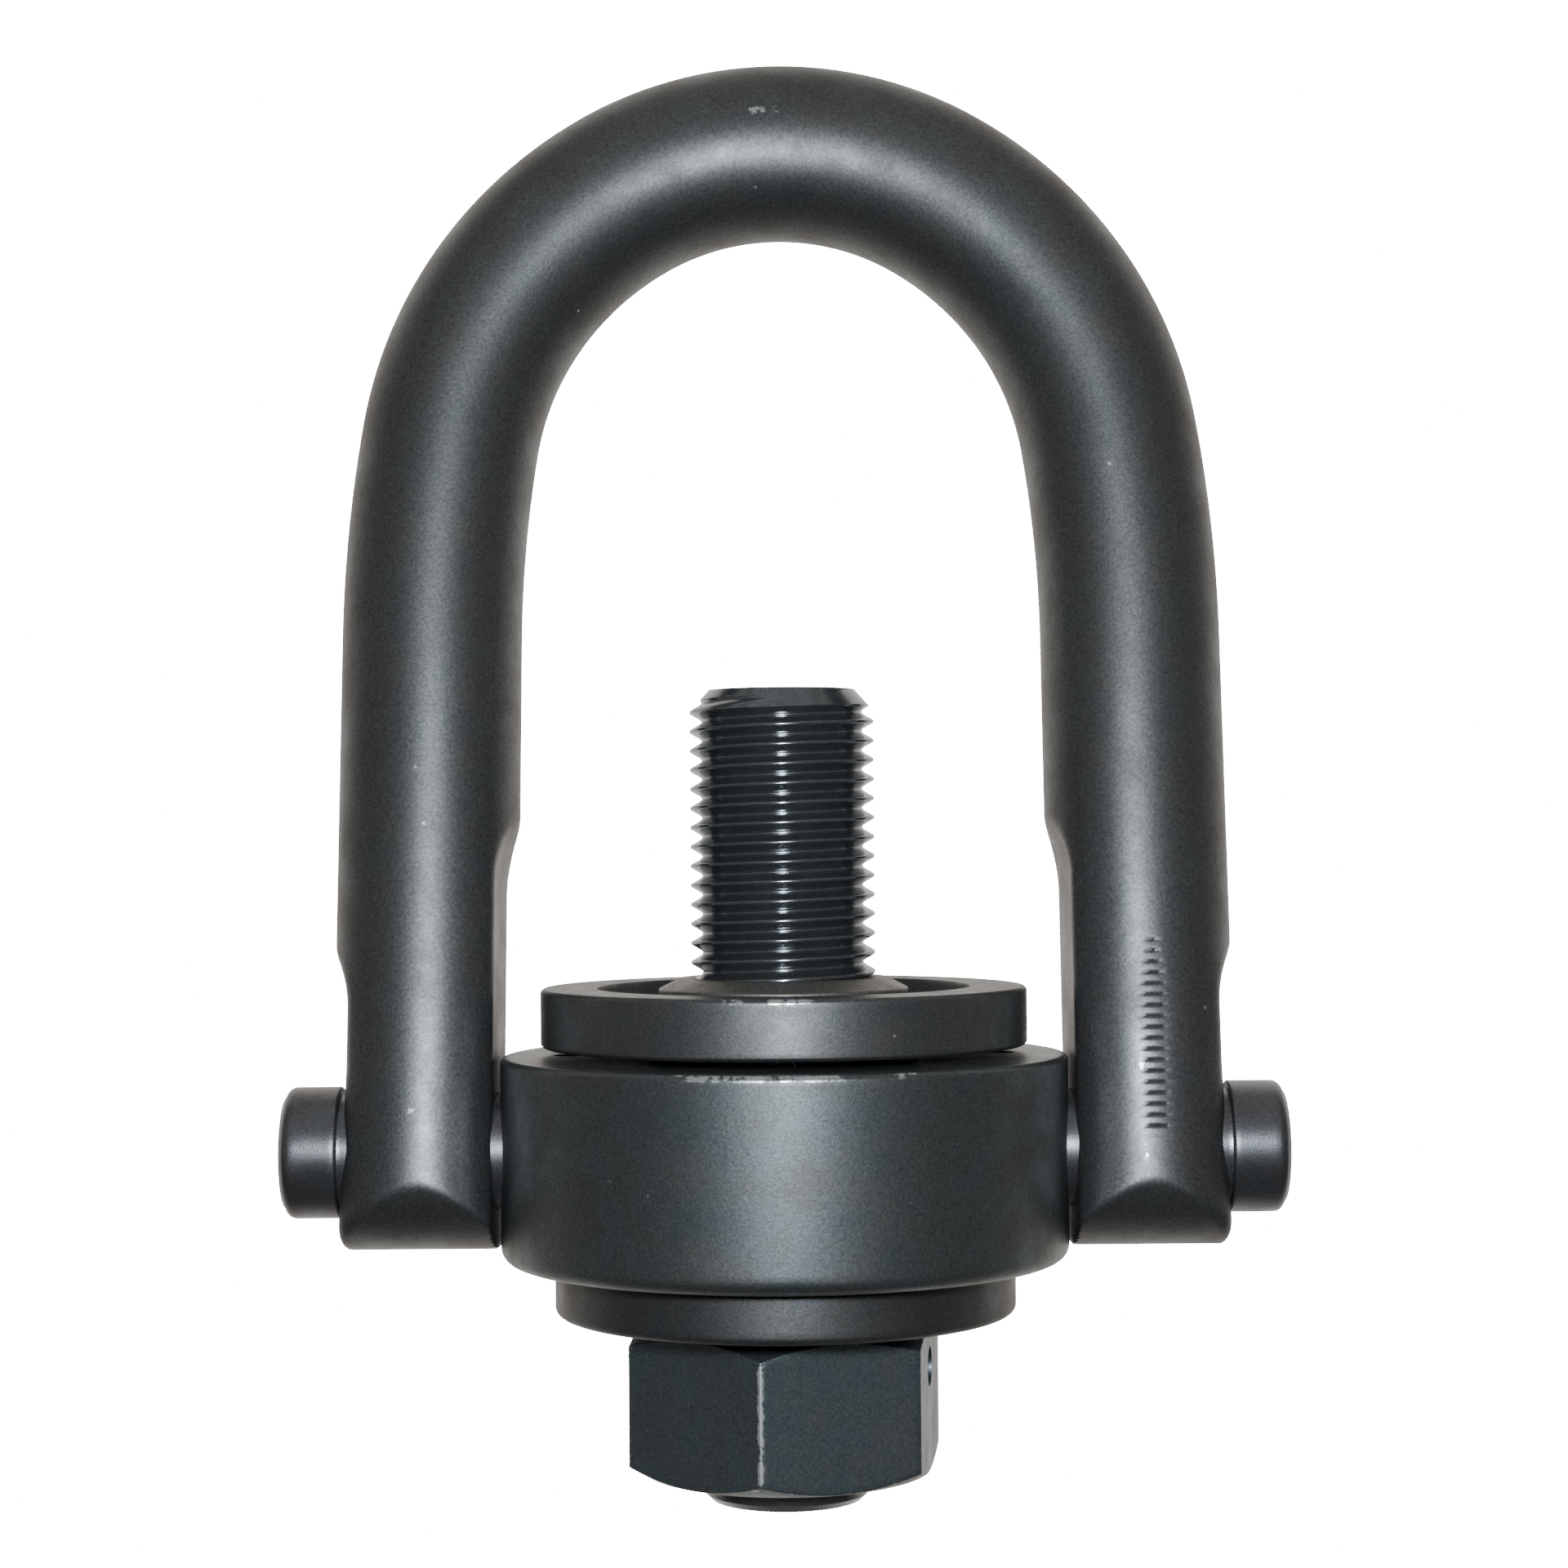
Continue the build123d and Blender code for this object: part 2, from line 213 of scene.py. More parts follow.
# one pitch of the thread's section: rounded root, flank, flat crest, flank, rounded root
half_thread = [(2.5, thread_root), (2.22, thread_root + 0.08), (1.98, thread_root + 0.33),
               (1.5, 22.0), (1.0, 22.9), (0.5, 23.74), (0.36, 23.93), (0.2, thread_radius)]
thread_section = [(-z, r) for z, r in half_thread] + [(z, r) for z, r in reversed(half_thread)]
stud = bmesh.new()
thread_start = stop_ring_top - thread_lead_in
thread_turns = math.ceil((stud_top - thread_start) / thread_pitch) + 1
section_verts = [stud.verts.new((r * MM, 0, (thread_start + z) * MM)) for z, r in thread_section]
section_edges = [stud.edges.new(pair) for pair in zip(section_verts, section_verts[1:])]
bmesh.ops.spin(stud, geom=section_verts + section_edges, cent=(0, 0, 0), axis=(0, 0, 1),
               dvec=(0, 0, thread_pitch * MM / thread_steps), angle=2 * math.pi,
               steps=thread_steps, use_merge=False)
one_turn = stud.verts[:] + stud.edges[:] + stud.faces[:]
for turn in range(1, thread_turns):
    copied = bmesh.ops.duplicate(stud, geom=one_turn)["geom"]
    bmesh.ops.translate(stud, verts=[g for g in copied if isinstance(g, bmesh.types.BMVert)],
                        vec=(0, 0, turn * thread_pitch * MM))
bmesh.ops.remove_doubles(stud, verts=stud.verts, dist=0.02 * MM)
# the tip is turned to a cone that cuts the last threads down
for vert in stud.verts:
    radius = math.hypot(vert.co.x, vert.co.y)
    cone = (tip_radius + (stud_top - vert.co.z / MM) * (thread_radius - tip_radius) / tip_chamfer) * MM
    if cone < radius:
        vert.co.x *= max(cone, tip_radius * MM) / radius
        vert.co.y *= max(cone, tip_radius * MM) / radius
for height, inner in ((stud_top, False), (stop_ring_top, True)):
    bmesh.ops.bisect_plane(stud, geom=stud.verts[:] + stud.edges[:] + stud.faces[:],
                           dist=0.001 * MM, plane_co=(0, 0, height * MM), plane_no=(0, 0, 1),
                           clear_outer=not inner, clear_inner=inner)


def rim_at(bm, height):
    """The open edges that lie at a height given in millimetres."""
    return [e for e in bm.edges if e.is_boundary
            and all(abs(v.co.z / MM - height) < 0.01 for v in e.verts)]


def grow_rim(bm, rim, radius, height):
    """Extrude an open round rim to a new radius and height; returns the new rim."""
    grown = bmesh.ops.extrude_edge_only(bm, edges=rim)["geom"]
    for vert in (g for g in grown if isinstance(g, bmesh.types.BMVert)):
        scale = radius * MM / math.hypot(vert.co.x, vert.co.y)
        vert.co = (vert.co.x * scale, vert.co.y * scale, height * MM)
    return [g for g in grown if isinstance(g, bmesh.types.BMEdge) and g.is_boundary]


rim = rim_at(stud, stop_ring_top)
shank_steps = [
    (neck_radius, stop_ring_top), (neck_radius, neck_bottom), (thread_radius, neck_bottom),
    (thread_radius, nut_bottom + thread_radius - tail_radius), (tail_radius, nut_bottom),
    (tail_radius, stud_bottom + tail_chamfer + edge_strip), (tail_radius, stud_bottom + tail_chamfer),
    (tail_radius - tail_chamfer, stud_bottom), (tail_radius - tail_chamfer - edge_strip, stud_bottom),
    (centre_hole_radius, stud_bottom), (centre_hole_floor, stud_bottom + centre_hole_depth)]
for radius, height in shank_steps:
    rim = grow_rim(stud, rim, radius, height)
bmesh.ops.contextual_create(stud, geom=rim)
rim = rim_at(stud, stud_top)
for radius, height in ((tip_radius - edge_strip, stud_top), (centre_hole_radius, stud_top),
                       (centre_hole_floor, stud_top - centre_hole_depth)):
    rim = grow_rim(stud, rim, radius, height)
bmesh.ops.contextual_create(stud, geom=rim)
stud_wear = stud.verts.layers.float.new("wear")
for vert in stud.verts:
    crest = math.hypot(vert.co.x, vert.co.y) > (thread_radius - 0.1) * MM
    vert[stud_wear] = crest_rub if crest and vert.co.z > stop_ring_top * MM else 0.0
# oil over fresh black on machined flanks: nearly black, with small hard glints down the middle
thread_steel = blacked_steel("stud thread, hot blacked and oiled", "#6e7376", "#686b6d", "#d8dbdd",
                             roughness=0.16, grain=0.5, mottle=9, wear=0.5, grain_depth=0.004)
finished(stud, "threaded_stud", "stud", "stud", thread_steel, sharp=40)

# ---------------------------------------------------------------- stop ring
# A ring of hard rubber in the neck under the thread. It is moulded, with a sloping top, and is
# dusty grey, duller than the steel round it.
ring_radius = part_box("stop_ring")[1].x / MM
ring_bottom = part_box("stop_ring")[0].z / MM
ring_land = 27.0
hole_play = 0.05
ring_shoulder = -0.4
stop_ring = turned([
    (neck_radius + hole_play, ring_bottom), (ring_radius, ring_bottom), (ring_radius, ring_shoulder),
    (ring_land, stop_ring_top), (neck_radius + hole_play, stop_ring_top)], spacing=1.0)
soften(stop_ring, 0.35)
# dust on rubber: matt warm grey with no gleam
ring_rubber = blacked_steel("stop ring rubber, moulded, dusty grey", "#76756f", "#6b6964", "#8c8b86",
                            roughness=0.5, grain=0.7, mottle=8, wear=0.2, grain_depth=0.015)
finished(stop_ring, "stop_ring_moulded", "stop_ring", "stud", ring_rubber)

# ---------------------------------------------------------------- flanged bushing
# A turned steel bushing: the thick flange carries the ground mounting face, with a recess
# round the stud, and its sleeve runs down through the body. The rim is knocked bright in front.
flange_low, flange_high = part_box("flange_bushing")
flange_radius = flange_high.x / MM
sleeve_end = flange_low.z / MM
flange_bottom = -15.2
flange_chamfer = 0.8
recess_radius = 48.5
recess_floor = -4.0
sleeve_radius = 35.0
sleeve_chamfer = 0.5
bore_radius = 24.4
flange = turned([
    (recess_radius, 0), (flange_radius - flange_chamfer, 0), (flange_radius, -flange_chamfer),
    (flange_radius, flange_bottom + flange_chamfer), (flange_radius - flange_chamfer, flange_bottom),
    (sleeve_radius, flange_bottom), (sleeve_radius, sleeve_end + sleeve_chamfer),
    (sleeve_radius - sleeve_chamfer, sleeve_end),
    (bore_radius, sleeve_end), (bore_radius, recess_floor), (recess_radius, recess_floor)])
soften(flange, 0.3)
knock(flange, 0, [(-16, -10), (-3, 7)])
# fine turning under the black: a satin charcoal with one soft upright gleam
flange_steel = blacked_steel("bushing steel, turned and blacked", "#5c5f60", "#575755", "#b9bcbc",
                             roughness=0.43, grain=0.6, mottle=10, wear=0.5, specks=0.004)
finished(flange, "flanged_bushing", "flange_bushing", "bushing", flange_steel)

# ---------------------------------------------------------------- swivel body
# The body is a thick forged ring, turned all over. Blind cross holes take the two shoulder
# pins and two small holes in its top face take the roll pins that hold them.
body_low, body_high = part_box("swivel_body")
body_radius = body_high.x / MM
body_top = body_high.z / MM
body_bottom = body_low.z / MM
body_bore = 35.4
body_chamfer = 1.0
body_round = 4.0
round_steps = 6
pin_low, pin_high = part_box("shoulder_pin_right")
pin_height = (pin_low.z + pin_high.z) / 2 / MM
pin_radius = 15.0
pin_inner_end = pin_low.x / MM
pin_socket_floor = pin_inner_end - 0.6
overshoot = 5
roll_pin_x = 56.0
roll_pin_hole = 4.0 + hole_play
roll_pin_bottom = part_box("roll_pin_right")[0].z / MM


def drill(bm, cutters):
    """Cut a closed mesh with closed cutters, each given as a bmesh."""
    mesh = bpy.data.meshes.new("blank")
    bm.to_mesh(mesh)
    bm.free()
    blank = bpy.data.objects.new("blank", mesh)
    bpy.context.scene.collection.objects.link(blank)
    tools = []
    for cutter in cutters:
        bmesh.ops.recalc_face_normals(cutter, faces=cutter.faces)
        tool_mesh = bpy.data.meshes.new("drill")
        cutter.to_mesh(tool_mesh)
        cutter.free()
        tool = bpy.data.objects.new("drill", tool_mesh)
        bpy.context.scene.collection.objects.link(tool)
        cut = blank.modifiers.new("cut", "BOOLEAN")
        cut.object, cut.operation, cut.solver = tool, "DIFFERENCE", "EXACT"
        tools.append(tool)
    shape = bpy.data.meshes.new_from_object(blank.evaluated_get(bpy.context.evaluated_depsgraph_get()))
    for spent in (blank, *tools):
        bpy.data.objects.remove(spent)
    drilled = bmesh.new()
    drilled.from_mesh(shape)
    bmesh.ops.remove_doubles(drilled, verts=drilled.verts, dist=0.0005 * MM)
    return drilled


def sideways(bm, side, height):
    """Lay a piece turned on the Z axis along the pins' axis: its top points to that side."""
    bmesh.ops.rotate(bm, verts=bm.verts, cent=(0, 0, 0),
                     matrix=Matrix.Rotation(side * math.pi / 2, 3, "Y"))
    bmesh.ops.translate(bm, verts=bm.verts, vec=(0, 0, height * MM))
    return bm


body_corner = [(body_radius - body_round * (1 - math.cos(a)), body_bottom + body_round * (1 - math.sin(a)))
               for a in (math.pi / 2 * step / round_steps for step in range(round_steps + 1))]
swivel_body = turned([
    (body_bore, body_top), (body_radius - body_chamfer, body_top), (body_radius, body_top - body_chamfer),
    *body_corner, (body_bore, body_bottom)])
soften(swivel_body, 0.35)
knock(swivel_body, body_top, [(-25, 15), (27.5, 31)])
socket_radius = pin_radius + hole_play
pin_sockets = [sideways(turned([(0, pin_socket_floor), (socket_radius, pin_socket_floor),
                                (socket_radius, body_radius + overshoot), (0, body_radius + overshoot)],
                               spacing=50, closed=False, steps=64), side, pin_height)
               for side in (-1, 1)]
roll_pin_holes = []
for side in (-1, 1):
    hole = turned([(0, roll_pin_bottom), (roll_pin_hole, roll_pin_bottom),
                   (roll_pin_hole, body_top + overshoot), (0, body_top + overshoot)],
                  spacing=80, closed=False, steps=32)
    bmesh.ops.translate(hole, verts=hole.verts, vec=(side * roll_pin_x * MM, 0, 0))
    roll_pin_holes.append(hole)
swivel_body = drill(swivel_body, pin_sockets + roll_pin_holes)
# black over a turned forging: cloudy cool and warm charcoal with a broad soft gleam in front
body_steel = blacked_steel("body steel, forged, turned and blacked", "#5c6365", "#565857", "#b9bcbc",
                           roughness=0.4, grain=0.7, mottle=12, wear=0.55, specks=0.008)
finished(swivel_body, "swivel_body_ring", "swivel_body", "swivel", body_steel, sharp=40)

# ---------------------------------------------------------------- thrust washer
# A turned steel washer between body and nut. Its raised seat takes the nut; the lower edge is
# rounded over.
washer_low, washer_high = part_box("thrust_washer")
washer_radius = washer_high.x / MM
washer_top = washer_high.z / MM
seat_bottom = washer_low.z / MM
seat_height = 3.0
washer_bottom = seat_bottom + seat_height
washer_chamfer = 0.8
washer_round = 2.2
seat_radius = 36.0
washer_corner = [(washer_radius - washer_round * (1 - math.cos(a)),
                  washer_bottom + washer_round * (1 - math.sin(a)))
                 for a in (math.pi / 2 * step / round_steps for step in range(round_steps + 1))]
washer = turned([
    (bore_radius, washer_top), (washer_radius - washer_chamfer, washer_top),
    (washer_radius, washer_top - washer_chamfer),
    *washer_corner, (seat_radius, washer_bottom), (seat_radius, seat_bottom), (bore_radius, seat_bottom)])
soften(washer, 0.3)
# painted shade: the same turned and blacked steel as the bushing, its colour darkened to stand in for the
# shade it lies in; a dull grey with a faint gleam
washer_steel_painted_shade = blacked_steel("washer steel, turned and blacked, darkened as painted shade", "#505355", "#4c4c4a", "#b4b6b6",
                             roughness=0.45, grain=0.6, mottle=15, wear=0.3, specks=0.003)
finished(washer, "thrust_washer_disc", "thrust_washer", "bushing", washer_steel_painted_shade)

# ---------------------------------------------------------------- hexagon nut
# A hexagon nut of bar steel, its corners taken off by a 30 degree cone at both ends. The
# vertical corners are rubbed bare by the spanner, and the one that faces the front is made lighter still. A
# cross hole takes the locking pin.
nut_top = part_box("hex_nut")[1].z / MM
nut_flats = 75.0
nut_turn = math.radians(-8.6)
nut_bore = 24.05
nut_countersink = 1.6
face_strip = 2
side_cuts = 24
chamfer_circle = nut_flats / 2 - 0.5
nut_pin_low, nut_pin_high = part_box("nut_pin")
nut_pin_height = (nut_pin_low.z + nut_pin_high.z) / 2 / MM
nut_pin_hole = 5.0 + hole_play
pin_drill_reach = 60
nut = bmesh.new()
outline = bmesh.ops.create_circle(nut, cap_ends=False, radius=1, segments=6 * side_cuts)["verts"]
bmesh.ops.rotate(nut, verts=outline, cent=(0, 0, 0), matrix=Matrix.Rotation(nut_turn + math.pi / 6, 3, "Z"))


def hexagon(vert):
    """Move a vertex out to the hexagon's outline; returns its radius in millimetres."""
    angle = (math.atan2(vert.co.y, vert.co.x) - nut_turn + math.pi / 6) % (math.pi / 3) - math.pi / 6
    radius = nut_flats / 2 / math.cos(angle)
    scale = radius * MM / math.hypot(vert.co.x, vert.co.y)
    vert.co.x *= scale
    vert.co.y *= scale
    return radius


cone_slope = math.tan(math.radians(30))
nut_mid = (nut_top + nut_bottom) / 2
first_ring = nut.edges[:]
for vert in outline:
    hexagon(vert)
    vert.co.z = nut_mid * MM
side_rings = 10
for direction, end in ((1, nut_top), (-1, nut_bottom)):
    ring = first_ring
    side_half = abs(end - nut_mid)
    for step in range(1, side_rings + 1):
        grown = bmesh.ops.extrude_edge_only(nut, edges=ring)["geom"]
        for vert in (g for g in grown if isinstance(g, bmesh.types.BMVert)):
            radius = hexagon(vert)
            reach = side_half - max(0.0, radius - chamfer_circle) * cone_slope
            vert.co.z = (nut_mid + direction * reach * step / side_rings) * MM
        ring = [g for g in grown if isinstance(g, bmesh.types.BMEdge) and len(g.link_faces) == 1]
    for radius, height in ((chamfer_circle, end), (chamfer_circle - face_strip, end),
                           (nut_bore + nut_countersink, end),
                           (nut_bore, end - direction * nut_countersink), (nut_bore, nut_mid)):
        ring = grow_rim(nut, ring, radius, height)
bmesh.ops.remove_doubles(nut, verts=nut.verts, dist=0.001 * MM)
bmesh.ops.recalc_face_normals(nut, faces=nut.faces)
soften(nut, 0.4, sharper_than=14)
nut_wear = nut.verts.layers.float["wear"]
# the vertical corner that faces the front gets almost twice the wear of the others, away from the nut's
# ends, so it shows lighter along its length
for vert in nut.verts:
    from_end = min(abs(vert.co.z / MM - nut_top), abs(vert.co.z / MM - nut_bottom))
    corner_turn = (math.atan2(vert.co.y, vert.co.x) - nut_turn - math.pi / 6) % (2 * math.pi)
    front_corner = abs(corner_turn - 4 * math.pi / 3) < 0.1
    if front_corner and from_end > 5:
        vert[nut_wear] *= 1.9
pin_hole = turned([(0, -pin_drill_reach), (nut_pin_hole, -pin_drill_reach),
                   (nut_pin_hole, pin_drill_reach), (0, pin_drill_reach)],
                  spacing=200, closed=False, steps=48)
for turn, turn_axis in ((math.pi / 2, "Y"), (nut_turn, "Z")):
    bmesh.ops.rotate(pin_hole, verts=pin_hole.verts, cent=(0, 0, 0),
                     matrix=Matrix.Rotation(turn, 3, turn_axis))
bmesh.ops.translate(pin_hole, verts=pin_hole.verts, vec=(0, 0, nut_pin_height * MM))
nut = drill(nut, [pin_hole])
# flat machined faces under the black: even blue-grey planes, white where a spanner has slipped
nut_steel = blacked_steel("nut steel, machined and blacked", "#616d72", "#5d6264", "#e6eaec",
                          roughness=0.4, grain=0.7, mottle=12, wear=0.9, specks=0.006)
finished(nut, "hexagon_nut", "hex_nut", "stud", nut_steel, sharp=40)

# ---------------------------------------------------------------- nut pin and roll pins
# Spring steel pins: a solid one locks the nut to the stud, and two rolled ones hold the
# shoulder pins. They are ground bar with a thin brown-black oxide.
# thin oxide on ground bar: brownish grey and rather bright
pin_wire = blacked_steel("spring steel, ground, brown oxide", "#7b7a78", "#6a6560", "#c4c4c2",
                         roughness=0.34, grain=0.4, mottle=6, wear=0.4)
for pin_node in ("nut_pin", "roll_pin_left", "roll_pin_right"):
    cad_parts[pin_node].data.materials.clear()
    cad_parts[pin_node].data.materials.append(pin_wire)

# ---------------------------------------------------------------- shoulder pins
# Turned pins of alloy steel on which the bail swings. The thick head, with a rounded rim and a
# crowned end, keeps the leg on; a little of the shank shows between them.
pin_crown = pin_high.x / MM
crown_height = 1.8
head_radius = 17.05
head_round = 2.6
pin_end_chamfer = 1.0
pin_shoulder = 114.9
shoulder_chamfer = 0.4
cross_hole_bottom, cross_hole_top = -70, -10
crown_radius = (head_radius ** 2 + crown_height ** 2) / (2 * crown_height)
rim_start = pin_crown - crown_height - head_round
head_rim = [(head_radius - head_round * (1 - math.cos(a)), rim_start + head_round * math.sin(a))
            for a in (math.pi / 2 * step / round_steps for step in range(round_steps))]
crown = [(r, pin_crown - crown_radius + math.sqrt(crown_radius ** 2 - r ** 2))
         for r in (14.2, 12, 9, 6, 3, 0)]
pin_profile = [
    (0, pin_inner_end), (pin_radius - pin_end_chamfer, pin_inner_end),
    (pin_radius, pin_inner_end + pin_end_chamfer),
    (pin_radius, pin_shoulder), (head_radius - shoulder_chamfer, pin_shoulder),
    (head_radius, pin_shoulder + shoulder_chamfer), *head_rim, *crown]
# smooth turning under the black: darker than the body, with a tight level gleam
pin_steel = blacked_steel("shoulder pin steel, turned and blacked", "#64676a", "#5b5a5c", "#b4b6ba",
                          roughness=0.32, grain=0.5, mottle=10, wear=0.25)
for side, side_name in ((-1, "left"), (1, "right")):
    shoulder_pin = sideways(turned(pin_profile, closed=False, steps=96), side, pin_height)
    soften(shoulder_pin, 0.2, sharper_than=40)
    cross_hole = turned([(0, cross_hole_bottom), (roll_pin_hole, cross_hole_bottom),
                         (roll_pin_hole, cross_hole_top), (0, cross_hole_top)],
                        spacing=80, closed=False, steps=32)
    bmesh.ops.translate(cross_hole, verts=cross_hole.verts, vec=(side * roll_pin_x * MM, 0, 0))
    shoulder_pin = drill(shoulder_pin, [cross_hole])
    finished(shoulder_pin, "shoulder_pin_turned_" + side_name, "shoulder_pin_" + side_name, "swivel",
             pin_steel, sharp=40)

# ---------------------------------------------------------------- bail
# A round bar of alloy steel, forged to a U and hardened. The ends are milled flat inside,
# rounded below, dressed outside and bored for the pins. A row of die marks runs up the front of
# the right leg.
bar_radius = 24.0
bail_lean = math.radians(10.5)
leg_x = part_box("bail")[1].x / MM - bar_radius
leg_straight = 136.7
easing_radius, easing_turn = 376.0, math.radians(8.6)
shoulder_radius, shoulder_turn = 98.8, math.radians(59.0)
inner_flat = 74.45
flat_tilt = 1 / 30
flat_top = 69.0
runout_radius = 36.0
end_radius, end_rise = 26.9, 1.7
leg_bottom = end_rise - end_radius
waist_top, waist_deepest, waist_even_to = 51.0, 36.0, 20.0
waist_depth, waist_end_depth = 4.5, 2.9
waist_arc = ((waist_top - waist_deepest) ** 2 + waist_depth ** 2) / (2 * waist_depth)
around = 160
end_rings = 48
mark_centre = 94.5
mark_pitch = 2.8
mark_half_width = 2.6
mark_depth = 0.32
mark_bottom, mark_fade, mark_top = 0.5, 40.0, 52.0
ring_steps = [(mark_top + 1, mark_pitch / 6), (91.0, 1.3), (leg_straight, 5.0)]


def soft_min(a, b, blend):
    """The lesser of two distances, with the corner between them rounded."""
    overlap = max(blend - abs(a - b), 0.0) / blend
    return min(a, b) - overlap ** 2 * blend / 4


def flat_depth(height):
    """How far the inner flat lies from the bar's centre line at a height on the leg."""
    if height < flat_top:
        return leg_x - inner_flat
    rise = min(height - flat_top, runout_radius)
    return leg_x - inner_flat + runout_radius - math.sqrt(runout_radius ** 2 - rise ** 2)


def waist_reach(height):
    """How far the dressed outer side lies from the centre line at a height on the leg."""
    if height > waist_even_to:
        rise = min(max(height - waist_deepest, 0.0), waist_arc)
        return bar_radius - waist_depth + waist_arc - math.sqrt(waist_arc ** 2 - rise ** 2)
    share = (waist_even_to - height) / (waist_even_to - leg_bottom)
    return bar_radius - waist_depth + (waist_depth - waist_end_depth) * share


def end_reach(direction):
    """Distance from the pins' axis to the round end along a downward direction."""
    spread = direction.y ** 2 + direction.z ** 2
    drop = end_rise * direction.z
    return (drop + math.sqrt(drop ** 2 + spread * (end_radius ** 2 - end_rise ** 2))) / spread


def leg_surface(direction, height):
    """Distance in millimetres from the leg's centre line to its skin along a direction."""
    flank = math.hypot(direction.x, direction.y)
    reach = bar_radius / flank if flank > 1e-4 else 1e4
    level = height + reach * direction.z
    # the inner flat is a little out of square: its front edge stands further out
    facing_flat = -direction.x - flat_tilt * direction.y
    if facing_flat > 1e-4:
        reach = soft_min(reach, flat_depth(height) / facing_flat, 0.8)
    if direction.x > 1e-4:
        reach = soft_min(reach, waist_reach(max(level, leg_bottom)) / direction.x, 2.4)
    if direction.z < -1e-4:
        reach = soft_min(reach, end_reach(direction), 0.9 + 14 * max(direction.x, 0.0) ** 3)
    return reach


bail = bmesh.new()
bmesh.ops.create_uvsphere(bail, u_segments=around, v_segments=2 * end_rings, radius=1)
bmesh.ops.delete(bail, geom=[v for v in bail.verts if v.co.z > 0.001], context="VERTS")
for vert in bail.verts:
    way = vert.co.normalized()
    vert.co = Vector((leg_x, 0, 0)) * MM + way * leg_surface(way, 0.0) * MM
rim = [e for e in bail.edges if e.is_boundary]
height = 0.0
while height < leg_straight:
    ring_step = next(step for top, step in ring_steps if height < top)
    height = min(height + ring_step, leg_straight)
    grown = bmesh.ops.extrude_edge_only(bail, edges=rim)["geom"]
    for vert in (g for g in grown if isinstance(g, bmesh.types.BMVert)):
        way = Vector((vert.co.x - leg_x * MM, vert.co.y, 0)).normalized()
        vert.co = Vector((leg_x, 0, height)) * MM + way * leg_surface(way, height) * MM
    rim = [g for g in grown if isinstance(g, bmesh.types.BMEdge) and g.is_boundary]
easing_centre = Vector((leg_x - easing_radius, 0, leg_straight))
shoulder_centre = easing_centre + (easing_radius - shoulder_radius) * Vector(
    (math.cos(easing_turn), 0, math.sin(easing_turn)))
bow_radius = shoulder_radius + shoulder_centre.x / math.cos(shoulder_turn)
bow_centre = shoulder_centre + (shoulder_radius - bow_radius) * Vector(
    (math.cos(shoulder_turn), 0, math.sin(shoulder_turn)))
for centre, angle, steps in ((easing_centre, easing_turn, 12),
                             (shoulder_centre, shoulder_turn - easing_turn, 40),
                             (bow_centre, math.pi / 2 - shoulder_turn, 24)):
    bent = bmesh.ops.spin(bail, geom=rim, cent=centre * MM, axis=(0, -1, 0), angle=angle, steps=steps)
    rim = [g for g in bent["geom_last"] if isinstance(g, bmesh.types.BMEdge)]
for edge in rim:
    for vert in edge.verts:
        vert.co.x = 0.0
bmesh.ops.mirror(bail, geom=bail.verts[:] + bail.edges[:] + bail.faces[:], axis="X", merge_dist=0.002 * MM)

# die marks: a ladder of short notches on the front ridge of the right leg, the upper ones
# fading to single dots
for vert in bail.verts:
    along = vert.co.z / MM
    if vert.co.x > 0 and vert.co.y < 0 and mark_bottom < along < mark_top:
        fading = 1 - 0.7 * max(0.0, (along - mark_fade) / (mark_top - mark_fade))
        off_centre = abs(vert.co.x / MM - mark_centre) / (mark_half_width * fading)
        if off_centre < 1.3:
            groove = max(0.0, math.cos(2 * math.pi * (along - mark_bottom) / mark_pitch)) ** 3
            vert.co.y += mark_depth * groove * min(1.0, (1.3 - off_centre) / 0.4) * MM

# bored holes for the shoulder pins
leg_bore = 15.3
leg_bores = [sideways(turned([
    (0, inner_flat - 3 * overshoot), (leg_bore, inner_flat - 3 * overshoot),
    (leg_bore, leg_x + bar_radius + overshoot), (0, leg_x + bar_radius + overshoot)],
    spacing=100, closed=False, steps=96), side, 0) for side in (-1, 1)]
bmesh.ops.recalc_face_normals(bail, faces=bail.faces)
bail = drill(bail, leg_bores)
# places on the front where slings and other gear have rubbed it: x, height, half-width and
# half-height in millimetres
bow_line = bow_centre.z + bow_radius
rubbed_places = [(-4.5, bow_line + 3, 9, 2.2), (-94, 98, 2.5, 3), (-93, 84, 2, 3), (-94.5, 8, 2.5, 3),
                 (91, 20, 1.6, 7), (91.5, -4, 1.6, 5)]
bail_wear = bail.verts.layers.float.new("wear")
for x, height, half_width, half_height in rubbed_places:
    for vert in bail.verts:
        off = math.hypot((vert.co.x / MM - x) / half_width, (vert.co.z / MM - height) / half_height)
        if vert.co.y < 0 and off < 1:
            vert[bail_wear] = max(vert[bail_wear], 1.1 - 0.4 * off)
bmesh.ops.rotate(bail, verts=bail.verts, cent=(0, 0, 0), matrix=Matrix.Rotation(-bail_lean, 3, "X"))
bmesh.ops.translate(bail, verts=bail.verts, vec=(0, 0, pin_height * MM))
# black over a shot-blasted forging: grainy charcoal, a long soft gleam down every round face
bail_steel = blacked_steel("bail steel, forged, hardened and blacked", "#5c5f60", "#565655", "#c0c2c4",
                           roughness=0.42, grain=0.8, mottle=16, wear=0.4, specks=0.005)
finished(bail, "forged_bail", "bail", "bail", bail_steel, sharp=40)

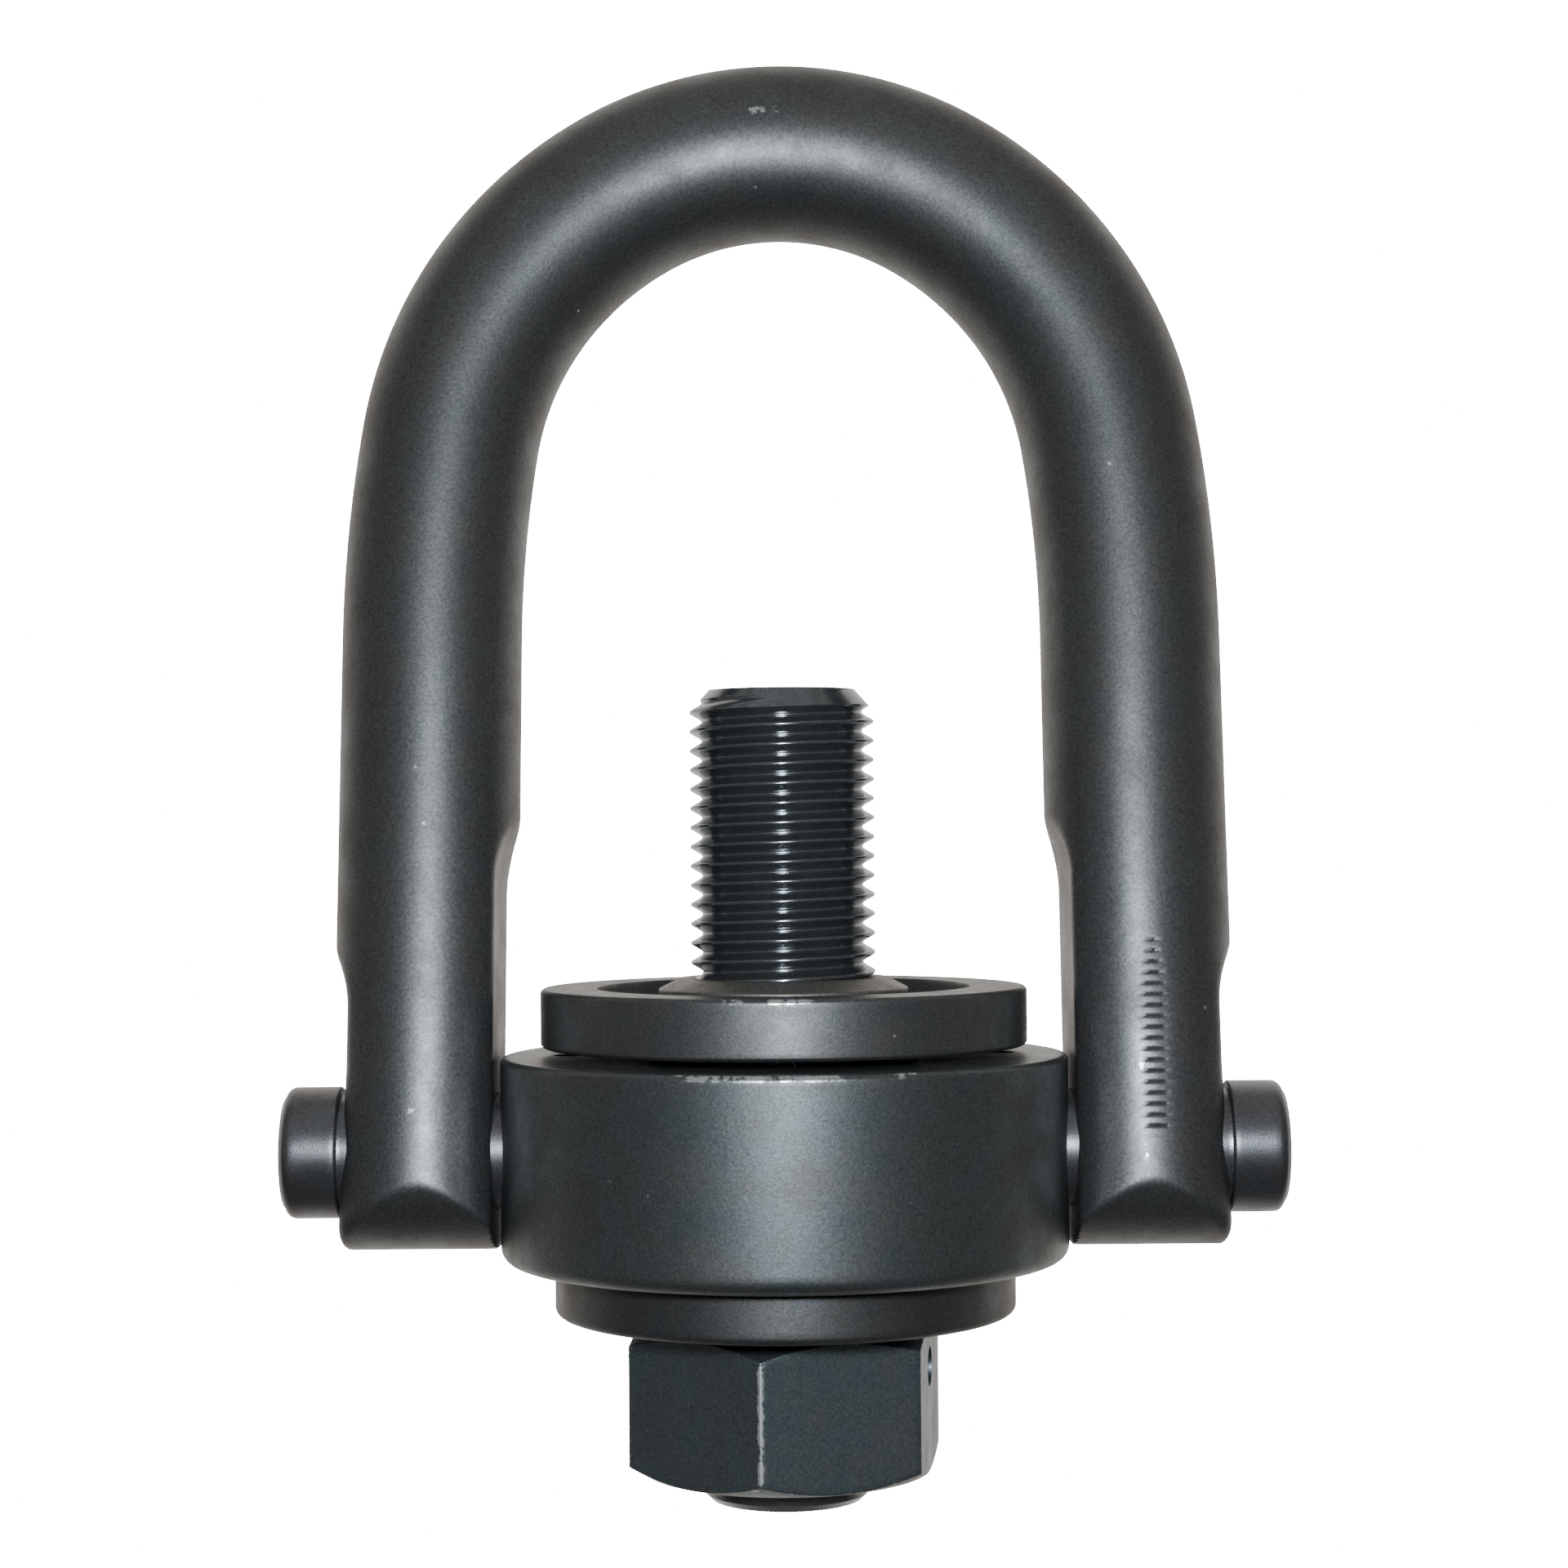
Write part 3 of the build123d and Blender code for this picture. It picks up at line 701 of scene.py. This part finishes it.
# ---------------------------------------------------------------- studio
# A pale floor below the lowest swing of the bail runs up into a pale wall behind. A soft lamp
# stands over the camera, a wide dim one hangs overhead, and the room round them is dim.
floor_height = -0.36
wall_distance = 2.6
cove_radius = 0.8
backdrop_glow = 20.0
cove = bmesh.new()
floor_edge = [cove.verts.new((x, -6, floor_height)) for x in (-6, 6)]
rim = [cove.edges.new(floor_edge)]
for travel in ((0, 6 + wall_distance - cove_radius, 0), None, (0, 0, 5)):
    if travel is None:
        cove_centre = (0, wall_distance - cove_radius, floor_height + cove_radius)
        bent = bmesh.ops.spin(cove, geom=rim, cent=cove_centre, axis=(1, 0, 0), angle=math.pi / 2, steps=24)
        rim = [g for g in bent["geom_last"] if isinstance(g, bmesh.types.BMEdge)]
    else:
        grown = bmesh.ops.extrude_edge_only(cove, edges=rim)["geom"]
        bmesh.ops.translate(cove, verts=[g for g in grown if isinstance(g, bmesh.types.BMVert)], vec=travel)
        rim = [g for g in grown if isinstance(g, bmesh.types.BMEdge)
               and all(v in grown for v in g.verts)]
bmesh.ops.recalc_face_normals(cove, faces=cove.faces)
paper = bpy.data.materials.new("backdrop paper, matt white")
paper.use_nodes = True
paper_shader = paper.node_tree.nodes["Principled BSDF"]
paper_shader.inputs["Base Color"].default_value = linear("#f4f4f4")
paper_shader.inputs["Roughness"].default_value = 0.9
paper_shader.inputs["Emission Color"].default_value = linear("#ffffff")
paper_shader.inputs["Emission Strength"].default_value = backdrop_glow
cove_mesh = bpy.data.meshes.new("floor")
cove.to_mesh(cove_mesh)
cove.free()
cove_mesh.materials.append(paper)
cove_mesh.shade_smooth()
floor = bpy.data.objects.new("floor", cove_mesh)
bpy.context.scene.collection.objects.link(floor)
floor.visible_diffuse = False
floor.visible_glossy = False

world = bpy.data.worlds.new("dim room")
world.use_nodes = True
bpy.context.scene.world = world
room = world.node_tree.nodes["Background"]
way = add_node(world.node_tree, "TexCoord").outputs["Generated"]
split = add_node(world.node_tree, "SeparateXYZ", {0: way})
above = add_node(world.node_tree, "MapRange", {
    "Value": split.outputs["Z"], "From Min": -0.4, "From Max": 0.3, "To Min": 0.07, "To Max": 0.2})
behind = add_node(world.node_tree, "MapRange", {
    "Value": split.outputs["Y"], "From Min": -0.05, "From Max": 0.9, "To Min": 0.0, "To Max": 1.12},
    interpolation_type="SMOOTHSTEP")
room_light = add_node(world.node_tree, "Math", {
    0: above.outputs[0], 1: behind.outputs[0]}, operation="ADD")
ray = add_node(world.node_tree, "LightPath")
brightness = add_node(world.node_tree, "Mix", {
    "Factor": ray.outputs["Is Camera Ray"], "A": room_light.outputs[0], "B": backdrop_glow},
    data_type="FLOAT")
world.node_tree.links.new(brightness.outputs[0], room.inputs["Strength"])
room.inputs["Color"].default_value = linear("#fff8f1")


def soft_light(name, target, elevation, distance, size, power, colour):
    """An area light in front that faces the target, raised by an angle in degrees."""
    e = math.radians(elevation)
    back = Vector((0, -math.cos(e), math.sin(e)))
    lamp = bpy.data.lights.new(name, "AREA")
    lamp.color = linear(colour)[:3]
    lamp.shape, lamp.size, lamp.energy = "DISK", size, power
    light = bpy.data.objects.new(name, lamp)
    bpy.context.scene.collection.objects.link(light)
    light.location = Vector(target) + back * distance
    light.rotation_mode = "QUATERNION"
    light.rotation_quaternion = (-back).to_track_quat("-Z", "Y")


soft_light("key lamp", (0, 0, -0.02), elevation=10, distance=0.9, size=0.1, power=10.5, colour="#eef6ff")
soft_light("overhead lamp", (0, 0, 0.25), elevation=62, distance=0.7, size=1.2, power=0.85,
           colour="#ffffff")

camera_distance = 0.83
camera_data = bpy.data.cameras.new("camera")
camera_data.sensor_width = 36
camera_data.lens = 73.1
camera = bpy.data.objects.new("camera", camera_data)
bpy.context.scene.collection.objects.link(camera)
camera.location = (0.00045, -camera_distance, 0.0425)
camera.rotation_euler = (math.radians(90.7), math.radians(0.43), 0)
bpy.context.scene.camera = camera
